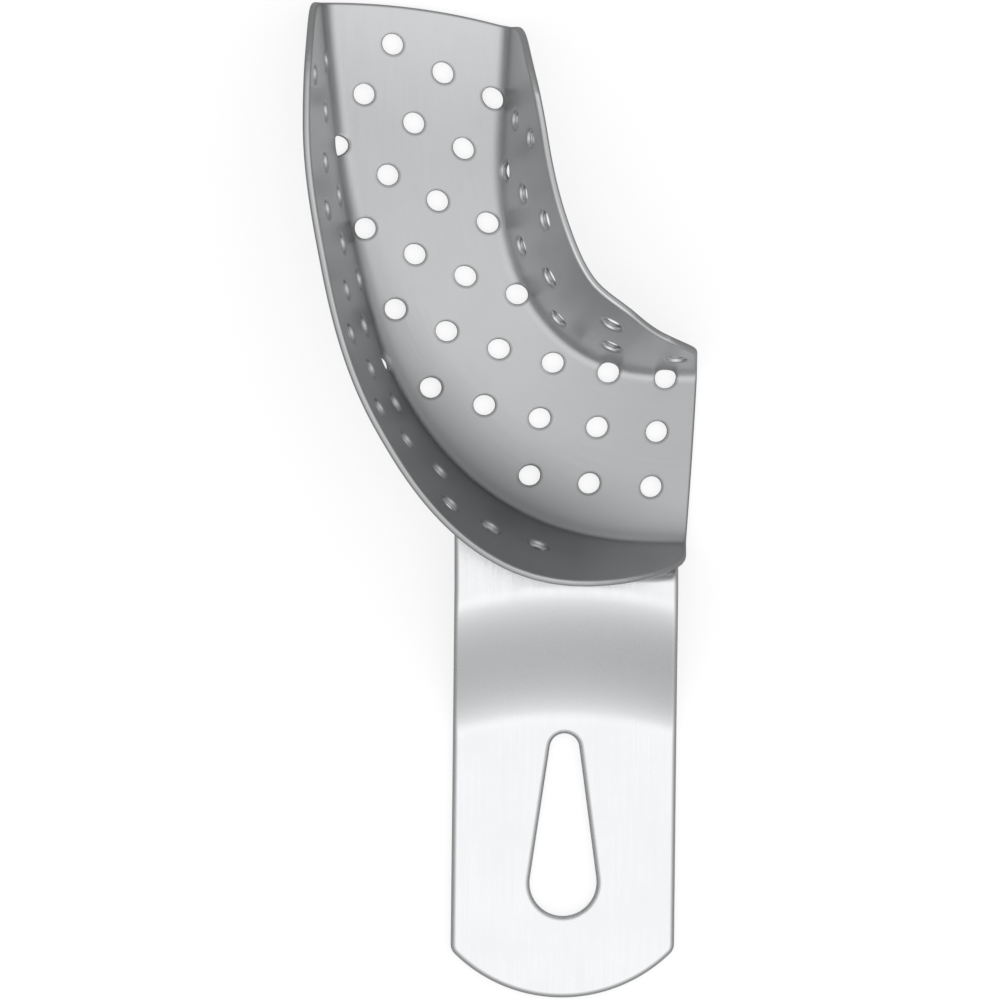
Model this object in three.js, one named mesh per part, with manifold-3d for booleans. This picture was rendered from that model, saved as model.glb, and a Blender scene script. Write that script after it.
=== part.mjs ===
// A perforated quadrant impression tray: a pressed sheet pan that follows one side of the dental arch, with
// a strip handle spot-welded to its front wall.
//
// The model is drawn in the arch's own frame, millimetres and degrees, +Z up, with the trough open upwards.
// The arch's middle line is a straight rear leg at x = -ARCH_HALF_WIDTH that runs into a superelliptic
// quarter and ends square to +X at the cut end. The group is then moved so that its origin is the middle of
// the footprint, on the surface that the tray stands on.
import * as THREE from "three";
import Module from "manifold-3d";
import { mergeVertices } from "three/addons/utils/BufferGeometryUtils.js";

const wasm = await Module();
wasm.setup();

// Arch, measured along the middle of the floor.
const ARCH_HALF_WIDTH = 25;
const ARCH_DEPTH = 29;
const ARCH_SQUARENESS = 2.3; // exponent of the superellipse, 2 is a plain ellipse
const REAR_LEG = 11;
const REAR_CUT_ANGLE = 7.6;
const REAR_CUT_BOW = 0.6; // how far the rear cut bulges in the middle of the floor
const FRONT_CUT_ANGLE = 3.8;

// Pan. A list gives a size at stations spaced evenly from the rear end to the cut front end.
const SHEET = 0.7;
const OUTER_FLOOR = [8.45, 7.3, 6.3, 7.3, 8.15, 7.6]; // middle line to the foot of the outer wall
const INNER_FLOOR = [8.2, 7.6, 7.25, 7.05, 7.1, 7.5];
const OUTER_SPREAD = [0.9, 2.4, 2.95, 3.4, 5, 3.8]; // how far the rim overhangs the wall's foot
const INNER_SPREAD = [1.3, 3.8, 5.1, 5.2, 4.8, 2];
const OUTER_HEIGHT = [10.5, 13, 14.2, 14.6, 14.8, 14.8];
const INNER_HEIGHT = [9, 12, 13.8, 13.8, 13.2, 9.8];
const OUTER_LEAN = [8, 10.5, 11, 13, 15.5, 16]; // from upright, at the wall's foot
const INNER_LEAN = [15, 18, 19, 19, 19, 15];
const OUTER_BEND_RUN = [1.2, 1.2, 1.5, 3, 5.4, 5.6]; // how far the bend at the wall's foot starts before it
const INNER_BEND_RUN = [0.9, 0.9, 0.9, 0.9, 0.9, 0.9];
const OUTER_BEND_CLIMB = [1.1, 1.1, 1.1, 1.3, 1.5, 1.5]; // how far up the wall that bend ends
const INNER_BEND_CLIMB = [0.9, 0.9, 0.9, 0.9, 0.9, 0.9];
const FLARE_START = 0.55; // share of the wall's height where its lean turns into its flare
const OUTER_CORNERS = { rear: 7, front: 10.5 }; // radius of the wall's top corner at each end
const INNER_CORNERS = { rear: 6.4, front: 3.5 };

// Perforation: a lattice of holes punched in the flat blank. Drawing the sheet round the arch bends the
// lattice's columns and rows, so a hole's place has terms in the squares of its column and row numbers.
const HOLE_RADIUS = 0.95;
const LATTICE_MIDDLE = [-20.62, -12.72];
const COLUMN_STEP = [4.64, -1.83];
const ROW_STEP = [-1.87, -4.92];
const COLUMN_BEND = [0.043, 0.174];
const SHARED_BEND = [0.066, 0.022];
const ROW_BEND = [0.148, -0.07];
const COLUMN_TWIST = [0.023, 0.011];
const LATTICE_REACH = 9; // columns and rows tried on each side of the middle hole
const END_LAND = 2.2; // least distance from a hole's middle to a cut end
const RIM_LAND = 2.7; // least distance from a hole's middle to the rim
const PLAIN_BEND = { from: 0.61, below: 2, above: 4 }; // the deep front bend, left unpunched
const PLAIN_WALL_FROM = 0.86; // share of the arch past which the outer wall is unpunched

// Handle.
const HANDLE_SHEET = 1.2;
const HANDLE_WIDTH = 20.3;
const HANDLE_INSET = 11.45; // from the middle of the strip to the arch's cut end
const HANDLE_TURN = 0.63; // how far the grip is turned from the pan's depth direction
const TAB_FOOT = 2; // height of the tab's lower edge above the underside
const TAB_TOP = 5.4; // height where the strip bends away from the wall
const CREST = 7.2; // height of the strip's upper face where it leaves the pan
const BEND_REACH = 1.7; // how far the strip's upper face runs out in the bend over the crest
const BEND_RISE = 0.55; // share of the bend's rise that steers its start
const BEND_LEVEL = 0.5; // share of the bend's reach that steers its end
const CREST_LAND = 0.3; // level stretch between the bend and the neck, where it is shortest
const NECK_RUN = 12.5;
const NECK_ARCH = 1.4; // how far the neck's bend lines bow towards the pan in the middle of the strip
const NECK_FULLNESS = 0.28; // share of the run that steers each end of the neck's curve
const GRIP_LENGTH = 24.9;
const GRIP_END_RADIUS = 14;
const GRIP_CORNER_RADIUS = 1.2;
const TRIM = 1; // spare metal that the strip's blank has outside its cut outline
const EYE_LENGTH = 16.6;
const EYE_TOP_RADIUS = 1.35;
const EYE_FOOT_RADIUS = 3.05;
const EYE_TO_END = 7.4;

// Spot welds between the tab and the wall.
const WELD_COUNT = 3;
const WELD_PITCH = 5.6;
const WELD_RADIUS = 1.1;
const WELD_HEIGHT = 4.1;
const WELD_IN_PAN = 0.25;
const WELD_IN_TAB = 0.5;

// Clearances.
const TAB_GAP = 0.2;
const WELD_GAP = 0.05;

// Mesh steps.
const ALONG_STEPS = 40;
const END_CROWDING = 0.55; // 0 is even steps, and towards 1 they close up at the pan's ends
const WALL_STEPS = 3;
const FILLET_STEPS = 3;
const FLOOR_STEPS = 2;
const STRIP_STEPS = 12;
const TAB_STEPS = 3;
const BEND_STEPS = 5;
const NECK_STEPS = 9;
const GRIP_STEPS = 1;
const HOLE_SIDES = 10;
const WELD_SIDES = 20;
const GRIP_ARC_SIDES = 10;
const EYE_ARC_SIDES = 12;
const PUNCH_PAST = 1; // how far a cutter stands past both faces of the sheet
const CUT_PAST_TAB = 10; // how far the strip's cut outline stands past the crest, clear of the tab
const CUT_HEIGHT = 30; // height of an upright cutter, more than the tray's

// Sampling and searches.
const QUARTER_OVERRUN = 5; // degrees that the quarter runs on past the cut end, for its skewed corner
const SAMPLES_PER_DEGREE = 10;
const CURVE_SAMPLES = 40;
const SEARCH_PASSES = 30;
const FOOT_PASSES = 8;
const STRETCH_SPAN = 1; // length of blank over which its stretch is measured
const WELD_SEARCH_STEP = 0.05;
const MERGE_WITHIN = 1e-4;

const radians = THREE.MathUtils.degToRad;
const lerp = THREE.MathUtils.lerp;

// ---- Solids ----

function toSolid(geometry) {
  const bare = geometry.clone();
  bare.deleteAttribute("normal");
  bare.deleteAttribute("uv");
  const merged = mergeVertices(bare, MERGE_WITHIN);
  return new wasm.Manifold(
    new wasm.Mesh({
      numProp: 3,
      vertProperties: new Float32Array(merged.attributes.position.array),
      triVerts: new Uint32Array(merged.index.array),
    }),
  );
}

function toGeometry(solid) {
  const mesh = solid.getMesh();
  const geometry = new THREE.BufferGeometry();
  geometry.setAttribute("position", new THREE.BufferAttribute(mesh.vertProperties, 3));
  geometry.setIndex(new THREE.BufferAttribute(mesh.triVerts, 1));
  geometry.computeVertexNormals();
  return geometry;
}

// Moves every vertex of a geometry to place(x, y, z).
function formed(geometry, place) {
  const position = geometry.attributes.position;
  for (let i = 0; i < position.count; i += 1) {
    const spot = place(position.getX(i), position.getY(i), position.getZ(i));
    position.setXYZ(i, spot.x, spot.y, spot.z);
  }
  return geometry;
}

// ---- The arch's middle line ----

class ArchQuarter extends THREE.Curve {
  getPoint(t, target = new THREE.Vector2()) {
    const angle = t * radians(90 + QUARTER_OVERRUN);
    const across = Math.abs(Math.cos(angle) / ARCH_HALF_WIDTH) ** ARCH_SQUARENESS;
    const down = Math.abs(Math.sin(angle) / ARCH_DEPTH) ** ARCH_SQUARENESS;
    const radius = (across + down) ** (-1 / ARCH_SQUARENESS);
    return target.set(-radius * Math.cos(angle), -radius * Math.sin(angle));
  }
}

const quarter = new ArchQuarter();
quarter.arcLengthDivisions = (90 + QUARTER_OVERRUN) * SAMPLES_PER_DEGREE;
const QUARTER_LENGTH = quarter.getLength();
const ARCH_LENGTH = REAR_LEG + quarter.getLengths()[90 * SAMPLES_PER_DEGREE];

// The middle line's point, direction and inward normal at a distance from the rear end.
function archAt(distance) {
  if (distance <= REAR_LEG) {
    return {
      point: new THREE.Vector2(-ARCH_HALF_WIDTH, REAR_LEG - distance),
      tangent: new THREE.Vector2(0, -1),
      normal: new THREE.Vector2(1, 0),
    };
  }
  const share = Math.min((distance - REAR_LEG) / QUARTER_LENGTH, 1);
  const tangent = quarter.getTangentAt(share);
  return {
    point: quarter.getPointAt(share),
    tangent,
    normal: new THREE.Vector2(-tangent.y, tangent.x),
  };
}

// The middle line's distance and the offset from it of a point of the plan.
function blankPlace(point) {
  let distance = 0;
  let least = Infinity;
  for (let step = 0; step <= ARCH_LENGTH; step += 1) {
    const gap = archAt(step).point.distanceTo(point);
    if (gap < least) {
      least = gap;
      distance = step;
    }
  }
  for (let pass = 0; pass < FOOT_PASSES; pass += 1) {
    const foot = archAt(distance);
    distance += point.clone().sub(foot.point).dot(foot.tangent);
    distance = THREE.MathUtils.clamp(distance, 0, ARCH_LENGTH);
  }
  const foot = archAt(distance);
  return { along: distance, across: point.clone().sub(foot.point).dot(foot.normal) };
}

// ---- The pan's cross-section ----

function sizeAlong(sizes, along) {
  const stations = new THREE.SplineCurve(sizes.map((size, i) => new THREE.Vector2(i, size)));
  return stations.getPoint(THREE.MathUtils.clamp(along / ARCH_LENGTH, 0, 1)).y;
}

// One side of the section, from the middle of the floor out to the rim: floor, bend, flared wall.
function sideAt(along, side) {
  const outer = side < 0;
  const floor = sizeAlong(outer ? OUTER_FLOOR : INNER_FLOOR, along);
  const spread = sizeAlong(outer ? OUTER_SPREAD : INNER_SPREAD, along);
  const height = sizeAlong(outer ? OUTER_HEIGHT : INNER_HEIGHT, along) - SHEET;
  const lean = radians(sizeAlong(outer ? OUTER_LEAN : INNER_LEAN, along));
  const run = sizeAlong(outer ? OUTER_BEND_RUN : INNER_BEND_RUN, along);
  const climb = sizeAlong(outer ? OUTER_BEND_CLIMB : INNER_BEND_CLIMB, along);
  const floorEdge = new THREE.Vector2(floor - run, 0);
  const foot = new THREE.Vector2(floor, 0);
  const wallStart = new THREE.Vector2(Math.sin(lean), Math.cos(lean)).multiplyScalar(climb).add(foot);
  const flareHeight = height * FLARE_START;
  const flare = new THREE.Vector2(floor + flareHeight * Math.tan(lean), flareHeight);
  const rim = new THREE.Vector2(floor + spread, height);
  const path = new THREE.CurvePath();
  path.add(new THREE.LineCurve(new THREE.Vector2(0, 0), floorEdge));
  path.add(new THREE.QuadraticBezierCurve(floorEdge, foot, wallStart));
  path.add(new THREE.QuadraticBezierCurve(wallStart, flare, rim));
  for (const curve of path.curves) curve.arcLengthDivisions = CURVE_SAMPLES;
  const [floorEnd, filletEnd, rimEnd] = path.getCurveLengths();
  return { path, floorEnd, filletEnd, rimEnd };
}

const sides = new Map();

function cachedSide(along, side) {
  const key = `${along.toFixed(6)} ${side}`;
  if (!sides.has(key)) sides.set(key, sideAt(along, side));
  return sides.get(key);
}

// Offset, height and upward normal of the trough's face at a length across the blank, negative outwards.
function faceAt(along, across) {
  const side = across < 0 ? -1 : 1;
  const { path, rimEnd } = cachedSide(along, side);
  const reach = Math.min(Math.abs(across), rimEnd);
  const ends = path.getCurveLengths();
  const piece = ends.findIndex((end) => reach <= end);
  const start = piece > 0 ? ends[piece - 1] : 0;
  const share = THREE.MathUtils.clamp((reach - start) / (ends[piece] - start), 0, 1);
  const point = path.curves[piece].getPointAt(share);
  const tangent = path.curves[piece].getTangentAt(share);
  return { offset: side * point.x, height: point.y, lean: -side * tangent.y, rise: tangent.x };
}

// The ends are cut askew across the floor, and square up the walls. The rear cut also bulges.
function endShift(along, offset) {
  const share = along / ARCH_LENGTH;
  const slope = lerp(Math.tan(radians(REAR_CUT_ANGLE)), Math.tan(radians(FRONT_CUT_ANGLE)), share);
  const floor = sizeAlong(offset < 0 ? OUTER_FLOOR : INNER_FLOOR, along);
  const reach = THREE.MathUtils.clamp(offset, -floor, floor);
  const bulge = REAR_CUT_BOW * Math.max(1 - share, 0) * (1 - (reach / floor) ** 2);
  return slope * reach - bulge;
}

// The formed place of a point of the blank. Depth is measured from the trough's face, negative outwards.
function pressed(along, across, depth) {
  const face = faceAt(along, across);
  const line = archAt(along + endShift(along, face.offset));
  const offset = face.offset + depth * face.lean;
  const spot = line.point.clone().addScaledVector(line.normal, offset);
  return new THREE.Vector3(spot.x, spot.y, SHEET + face.height + depth * face.rise);
}

function cornerDrop(radius, distance) {
  if (distance >= radius) return 0;
  return radius - Math.sqrt(radius ** 2 - (radius - distance) ** 2);
}

// Length across the blank, on one side, from its middle to the rim, less the rounding of the end corners.
function rimLength(along, side) {
  const corners = side < 0 ? OUTER_CORNERS : INNER_CORNERS;
  const rear = cornerDrop(corners.rear, along);
  const front = cornerDrop(corners.front, ARCH_LENGTH - along);
  return cachedSide(along, side).rimEnd - Math.max(rear, front);
}

// ---- Pan ----

// Lengths across the blank where the mesh's rows lie, from the outer rim to the inner rim.
function rowsAt(along) {
  const half = (side) => {
    const { floorEnd, filletEnd } = cachedSide(along, side);
    const rim = rimLength(along, side);
    const rows = [];
    for (let i = 1; i <= FLOOR_STEPS; i += 1) rows.push((floorEnd * i) / FLOOR_STEPS);
    for (let i = 1; i <= FILLET_STEPS; i += 1) rows.push(lerp(floorEnd, filletEnd, i / FILLET_STEPS));
    for (let i = 1; i <= WALL_STEPS; i += 1) rows.push(lerp(filletEnd, rim, i / WALL_STEPS));
    return rows.map((row) => side * row);
  };
  return [...half(-1).reverse(), 0, ...half(1)];
}

// Even steps that close up towards both ends, where the rims are rounded.
function alongShare(share) {
  return share - (END_CROWDING * Math.sin(2 * Math.PI * share)) / (2 * Math.PI);
}

function panBlank() {
  const rowCount = 2 * (FLOOR_STEPS + FILLET_STEPS + WALL_STEPS);
  const rowsByStep = new Map();
  const box = new THREE.BoxGeometry(1, 1, 1, ALONG_STEPS, rowCount, 1);
  return formed(box, (x, y, z) => {
    const along = ARCH_LENGTH * alongShare(x + 0.5);
    const key = along.toFixed(6);
    if (!rowsByStep.has(key)) rowsByStep.set(key, rowsAt(along));
    const row = Math.round((y + 0.5) * rowCount);
    return pressed(along, rowsByStep.get(key)[row], z > 0 ? 0 : -SHEET);
  });
}

// A round cutter that stands square to the sheet at a point of the blank, between two depths.
function pressedCutter(along, across, radius, facets, low, high) {
  const ahead = pressed(along + STRETCH_SPAN / 2, across, 0);
  const stretch = ahead.distanceTo(pressed(along - STRETCH_SPAN / 2, across, 0)) / STRETCH_SPAN;
  const rod = new THREE.CylinderGeometry(radius, radius, 1, facets);
  return formed(rod, (x, y, z) =>
    pressed(along + x / stretch, across - z, y > 0 ? high : low),
  );
}

function latticePoint(i, j) {
  const axis = (n) =>
    LATTICE_MIDDLE[n] +
    i * COLUMN_STEP[n] +
    j * ROW_STEP[n] +
    i * i * COLUMN_BEND[n] +
    i * j * SHARED_BEND[n] +
    j * j * ROW_BEND[n] +
    i * i * j * COLUMN_TWIST[n];
  return new THREE.Vector2(axis(0), axis(1));
}

function isPunched({ along, across }) {
  const side = across < 0 ? -1 : 1;
  const { offset, height } = faceAt(along, across);
  const shifted = along - endShift(along, offset);
  if (Math.min(shifted, ARCH_LENGTH - shifted) < END_LAND) return false;
  if (rimLength(shifted, side) - Math.abs(across) < RIM_LAND) return false;
  if (side > 0) return true;
  const pastFoot = -across - sizeAlong(OUTER_FLOOR, along);
  const inFront = along > PLAIN_BEND.from * ARCH_LENGTH;
  if (inFront && pastFoot > -PLAIN_BEND.below && pastFoot < PLAIN_BEND.above) return false;
  if (along > PLAIN_WALL_FROM * ARCH_LENGTH && pastFoot > 0) return false;
  const behindHandle = Math.abs(pressed(shifted, across, 0).x + HANDLE_INSET) < HANDLE_WIDTH / 2;
  return !(behindHandle && pastFoot > 0 && height + SHEET < CREST);
}

function holePlaces() {
  const places = [];
  for (let i = -LATTICE_REACH; i <= LATTICE_REACH; i += 1) {
    for (let j = -LATTICE_REACH; j <= LATTICE_REACH; j += 1) {
      const place = blankPlace(latticePoint(i, j));
      if (isPunched(place)) places.push(place);
    }
  }
  return places;
}

// ---- Handle ----

const HANDLE_MIDDLE = -HANDLE_INSET;

// Where the pan's outer wall, at a length across the blank, reaches a given x.
function alongAtX(x, across, depth) {
  let low = ARCH_LENGTH / 2;
  let high = ARCH_LENGTH;
  for (let pass = 0; pass < SEARCH_PASSES; pass += 1) {
    const middle = (low + high) / 2;
    if (pressed(middle, across, depth).x < x) low = middle;
    else high = middle;
  }
  return (low + high) / 2;
}

// The point of the wall's outer face, or of a face parallel to it, at a given x and height.
function wallAt(x, z, depth) {
  let low = 0;
  let high = Math.max(...OUTER_HEIGHT) + Math.max(...OUTER_FLOOR);
  let spot;
  for (let pass = 0; pass < SEARCH_PASSES; pass += 1) {
    const across = (low + high) / 2;
    spot = pressed(alongAtX(x, -across, depth), -across, depth);
    if (spot.z < z) low = across;
    else high = across;
  }
  return new THREE.Vector2(spot.y, spot.z);
}

// The strip's upper face follows the wall up, bends over the crest and runs down the neck to the grip.
function tabSpots(x) {
  const spots = [];
  for (let i = 0; i <= TAB_STEPS; i += 1) {
    spots.push(wallAt(x, lerp(TAB_FOOT, TAB_TOP, i / TAB_STEPS), -SHEET - TAB_GAP));
  }
  return spots;
}

const stripXs = [];
for (let i = 0; i <= STRIP_STEPS; i += 1) {
  stripXs.push(HANDLE_MIDDLE + HANDLE_WIDTH * (i / STRIP_STEPS - 0.5));
}
const tabs = stripXs.map(tabSpots);
const crestY = Math.min(...tabs.map((spots) => spots.at(-1).x)) - BEND_REACH - CREST_LAND;
const gripY = crestY - NECK_RUN;
const endY = gripY - GRIP_LENGTH;

function stripPath(column) {
  const spots = tabs[column];
  const top = spots.at(-1);
  const bow = NECK_ARCH * ((stripXs[column] - HANDLE_MIDDLE) / (HANDLE_WIDTH / 2)) ** 2;
  const up = top.clone().sub(spots.at(-2)).normalize();
  const bendEnd = new THREE.Vector2(top.x - BEND_REACH, CREST);
  const neckTop = new THREE.Vector2(crestY - bow, CREST);
  const neckFoot = new THREE.Vector2(gripY - bow, HANDLE_SHEET);
  const level = new THREE.Vector2(NECK_FULLNESS * NECK_RUN, 0);
  const bend = new THREE.CubicBezierCurve(
    top,
    up.clone().multiplyScalar((CREST - TAB_TOP) * BEND_RISE).add(top),
    bendEnd.clone().add(new THREE.Vector2(BEND_REACH * BEND_LEVEL, 0)),
    bendEnd,
  );
  const neck = new THREE.CubicBezierCurve(
    neckTop,
    neckTop.clone().sub(level),
    neckFoot.clone().add(level),
    neckFoot,
  );
  const gripEnd = new THREE.Vector2(endY - TRIM, HANDLE_SHEET);
  const grip = new THREE.LineCurve(neckFoot, gripEnd);
  return [
    ...spots.slice(0, -1),
    ...bend.getPoints(BEND_STEPS),
    ...neck.getPoints(NECK_STEPS),
    ...grip.getPoints(GRIP_STEPS).slice(1),
  ];
}

// The strip is thickened along the face's normal, in the plane of its own column.
function stripBlank() {
  const paths = stripXs.map((_, column) => stripPath(column));
  const rowCount = paths[0].length - 1;
  const normalAt = (path, row) => {
    const run = path[Math.min(row + 1, rowCount)].clone().sub(path[Math.max(row - 1, 0)]).normalize();
    return new THREE.Vector2(-run.y, run.x);
  };
  const box = new THREE.BoxGeometry(1, 1, 1, STRIP_STEPS, rowCount, 1);
  return formed(box, (x, y, z) => {
    const column = Math.round((x + 0.5) * STRIP_STEPS);
    const row = Math.round((0.5 - y) * rowCount);
    const path = paths[column];
    const depth = z > 0 ? 0 : HANDLE_SHEET;
    const spot = path[row].clone().addScaledVector(normalAt(path, row), depth);
    return new THREE.Vector3(stripXs[column], spot.x, spot.y);
  });
}

// Plan outline of the whole strip: straight sides, small corners and an end that is one long arc.
function stripOutline() {
  const half = HANDLE_WIDTH / 2;
  const shape = new THREE.Shape();
  const lean = Math.asin((half - GRIP_CORNER_RADIUS) / (GRIP_END_RADIUS - GRIP_CORNER_RADIUS));
  const cornerY =
    endY + GRIP_END_RADIUS - (GRIP_END_RADIUS - GRIP_CORNER_RADIUS) * Math.cos(lean);
  const farY = crestY + CUT_PAST_TAB;
  shape.moveTo(HANDLE_MIDDLE + half + TRIM, farY);
  shape.lineTo(HANDLE_MIDDLE - half - TRIM, farY);
  shape.lineTo(HANDLE_MIDDLE - half - TRIM, cornerY);
  shape.lineTo(HANDLE_MIDDLE - half, cornerY);
  shape.absarc(
    HANDLE_MIDDLE - half + GRIP_CORNER_RADIUS, cornerY, GRIP_CORNER_RADIUS,
    Math.PI, 1.5 * Math.PI - lean, false,
  );
  shape.absarc(
    HANDLE_MIDDLE, endY + GRIP_END_RADIUS, GRIP_END_RADIUS,
    1.5 * Math.PI - lean, 1.5 * Math.PI + lean, false,
  );
  shape.absarc(
    HANDLE_MIDDLE + half - GRIP_CORNER_RADIUS, cornerY, GRIP_CORNER_RADIUS,
    1.5 * Math.PI + lean, 2 * Math.PI, false,
  );
  shape.lineTo(HANDLE_MIDDLE + half + TRIM, cornerY);
  return shape;
}

// The eye is two circles joined by their common tangents.
function eyeOutline() {
  const footY = endY + EYE_TO_END + EYE_FOOT_RADIUS;
  const topY = endY + EYE_TO_END + EYE_LENGTH - EYE_TOP_RADIUS;
  const taper = Math.asin((EYE_FOOT_RADIUS - EYE_TOP_RADIUS) / (topY - footY));
  const shape = new THREE.Shape();
  shape.absarc(HANDLE_MIDDLE, topY, EYE_TOP_RADIUS, taper, Math.PI - taper, false);
  shape.absarc(HANDLE_MIDDLE, footY, EYE_FOOT_RADIUS, Math.PI - taper, 2 * Math.PI + taper, false);
  shape.closePath();
  return shape;
}

// An upright prism of a plan outline, through everything.
function prism(shape, curveSegments) {
  const settings = { depth: CUT_HEIGHT, curveSegments, bevelEnabled: false };
  return new THREE.ExtrudeGeometry(shape, settings).translate(0, 0, -CUT_HEIGHT / 2);
}

// Past the crest the strip runs off at the handle's turn.
function turnedGrip(solid) {
  const slope = Math.tan(radians(HANDLE_TURN));
  return toSolid(
    formed(toGeometry(solid), (x, y, z) => new THREE.Vector3(x + slope * Math.min(y - crestY, 0), y, z)),
  );
}

// ---- Welds ----

function weldPlaces() {
  const places = [];
  for (let i = 0; i < WELD_COUNT; i += 1) {
    const x = HANDLE_MIDDLE + (i - (WELD_COUNT - 1) / 2) * WELD_PITCH;
    let across = -sizeAlong(OUTER_FLOOR, ARCH_LENGTH);
    while (pressed(alongAtX(x, across, -SHEET), across, -SHEET).z < WELD_HEIGHT) {
      across -= WELD_SEARCH_STEP;
    }
    places.push({ along: alongAtX(x, across, -SHEET), across });
  }
  return places;
}

function weldRod(place, extra) {
  return toSolid(
    pressedCutter(
      place.along, place.across, WELD_RADIUS + extra, WELD_SIDES,
      -SHEET - TAB_GAP - WELD_IN_TAB - extra, -SHEET + WELD_IN_PAN + extra,
    ),
  );
}

// ---- Assembly ----

const panSteel = new THREE.MeshStandardMaterial({ color: 0xb9bbbe, roughness: 0.38, metalness: 1 });
const handleSteel = new THREE.MeshStandardMaterial({ color: 0xd3d5d7, roughness: 0.26, metalness: 1 });
const weldSteel = new THREE.MeshStandardMaterial({ color: 0x9b9ea3, roughness: 0.5, metalness: 1 });

const tray = new THREE.Group();

function add(name, solid, material) {
  const mesh = new THREE.Mesh(toGeometry(solid), material);
  mesh.name = name;
  tray.add(mesh);
}

const welds = weldPlaces();
const pockets = wasm.Manifold.union(welds.map((place) => weldRod(place, WELD_GAP)));
const punches = wasm.Manifold.union(
  holePlaces().map(({ along, across }) => {
    const start = along - endShift(along, faceAt(along, across).offset);
    return toSolid(pressedCutter(start, across, HOLE_RADIUS, HOLE_SIDES, -SHEET - PUNCH_PAST, PUNCH_PAST));
  }),
);
add("tray_pan", toSolid(panBlank()).subtract(punches).subtract(pockets), panSteel);

const strip = toSolid(stripBlank())
  .intersect(toSolid(prism(stripOutline(), GRIP_ARC_SIDES)))
  .subtract(toSolid(prism(eyeOutline(), EYE_ARC_SIDES)));
add("handle", turnedGrip(strip).subtract(pockets), handleSteel);

welds.forEach((place, i) => add(`weld_nugget_${i + 1}`, weldRod(place, 0), weldSteel));

const extent = new THREE.Box3().setFromObject(tray);
tray.position.set(-(extent.min.x + extent.max.x) / 2, -(extent.min.y + extent.max.y) / 2, -extent.min.z);

export default tray;
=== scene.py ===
"""The looks of a perforated quadrant impression tray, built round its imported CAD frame.

Both sheet metal pieces are made the way a press shop makes them. A flat blank is cut to its outline, its
edges are rounded and its holes are punched, and the blank is then formed: every point of it, and the
direction that its surface faces there, is carried to its place in the finished tray. Blanks are drawn in
millimetres, and formed pieces are in metres, in the frame of the CAD model.
"""

import logging
import math
from dataclasses import dataclass, field
from enum import Enum
from functools import cached_property
from typing import Protocol

import bpy
import numpy as np
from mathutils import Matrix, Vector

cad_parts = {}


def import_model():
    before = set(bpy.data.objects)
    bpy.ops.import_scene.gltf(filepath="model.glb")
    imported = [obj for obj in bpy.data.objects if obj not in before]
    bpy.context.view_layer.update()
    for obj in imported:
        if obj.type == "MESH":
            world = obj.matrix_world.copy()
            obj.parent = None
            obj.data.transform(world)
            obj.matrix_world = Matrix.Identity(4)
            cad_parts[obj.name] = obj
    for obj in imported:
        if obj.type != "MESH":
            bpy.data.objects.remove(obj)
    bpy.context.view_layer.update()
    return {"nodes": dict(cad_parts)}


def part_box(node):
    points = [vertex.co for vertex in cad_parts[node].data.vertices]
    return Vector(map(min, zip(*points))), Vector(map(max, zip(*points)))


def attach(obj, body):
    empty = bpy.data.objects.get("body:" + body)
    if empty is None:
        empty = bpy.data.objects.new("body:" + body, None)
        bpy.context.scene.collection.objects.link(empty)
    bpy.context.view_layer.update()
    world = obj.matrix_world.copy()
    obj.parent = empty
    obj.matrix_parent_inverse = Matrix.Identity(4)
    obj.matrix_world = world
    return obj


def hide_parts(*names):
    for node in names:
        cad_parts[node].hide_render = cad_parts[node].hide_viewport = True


MILLIMETRE = 0.001
FLAT_PLACE = "flat_place"
CUT_EDGE = "cut_edge"
# names the attribute of painted light and shade, a scale that lightens or darkens the pan's colour
PAINTED_LIGHT_AND_SHADE = "polish"
WELD_HEAT = "weld_heat"
FACE_TOLERANCE = 1e-4  # in millimetres, within which a point counts as on a face of the blank
FORMING_STEP = 0.02  # in millimetres, the step that forming's local stretch and turn are taken over

log = logging.getLogger("impression_tray")


class Slot(Enum):
    """The record's material slots."""

    PAN = "pan_steel"
    HANDLE = "handle_steel"
    WELD = "weld_steel"


class Side(Enum):
    """The two sides of the trough, with the sign that lengths across the blank have there."""

    OUTER = -1
    INNER = 1


class Place(Enum):
    """Where a finish's pattern takes its place from."""

    BLANK = "the flat blank, so that the pattern follows the formed sheet"
    SOLID = "the piece's own space"


# ---- Curves ----


def station_size(sizes: tuple[float, ...], share: np.ndarray) -> np.ndarray:
    """Reads a size between stations that are spaced evenly along the arch.

    Args:
        sizes: The size at each station, from the rear end to the front end.
        share: Shares of the arch's length.

    Returns:
        The size at each share, on a smooth curve through the stations.
    """
    values = np.array(sizes)
    last = len(values) - 1
    spot = np.clip(share, 0, 1) * last
    step = spot.astype(int)
    t = spot - step
    before, here, after, beyond = (
        values[np.clip(step + shift, 0, last)] for shift in (-1, 0, 1, 2)
    )
    leave, arrive = (after - before) / 2, (beyond - here) / 2
    cubic = 2 * here - 2 * after + leave + arrive
    square = 3 * after - 3 * here - 2 * leave - arrive
    return ((cubic * t + square) * t + leave) * t + here


def quadratic(ends: tuple[np.ndarray, ...], u: np.ndarray) -> np.ndarray:
    """Points of quadratic Bezier curves.

    Args:
        ends: The start, control and end points.
        u: Parameters from 0 to 1, which broadcast against the points.

    Returns:
        The points at u.
    """
    start, control, end = ends
    return (1 - u) ** 2 * start + 2 * u * (1 - u) * control + u**2 * end


def cubic(ends: tuple[np.ndarray, ...], u: np.ndarray) -> np.ndarray:
    """Points of a cubic Bezier curve.

    Args:
        ends: The start, two control points and the end.
        u: Parameters from 0 to 1.

    Returns:
        One row for each parameter.
    """
    a, b, c, d = ends
    u = u[:, None]
    return (1 - u) ** 3 * a + 3 * u * (1 - u) ** 2 * b + 3 * u**2 * (1 - u) * c + u**3 * d


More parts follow.
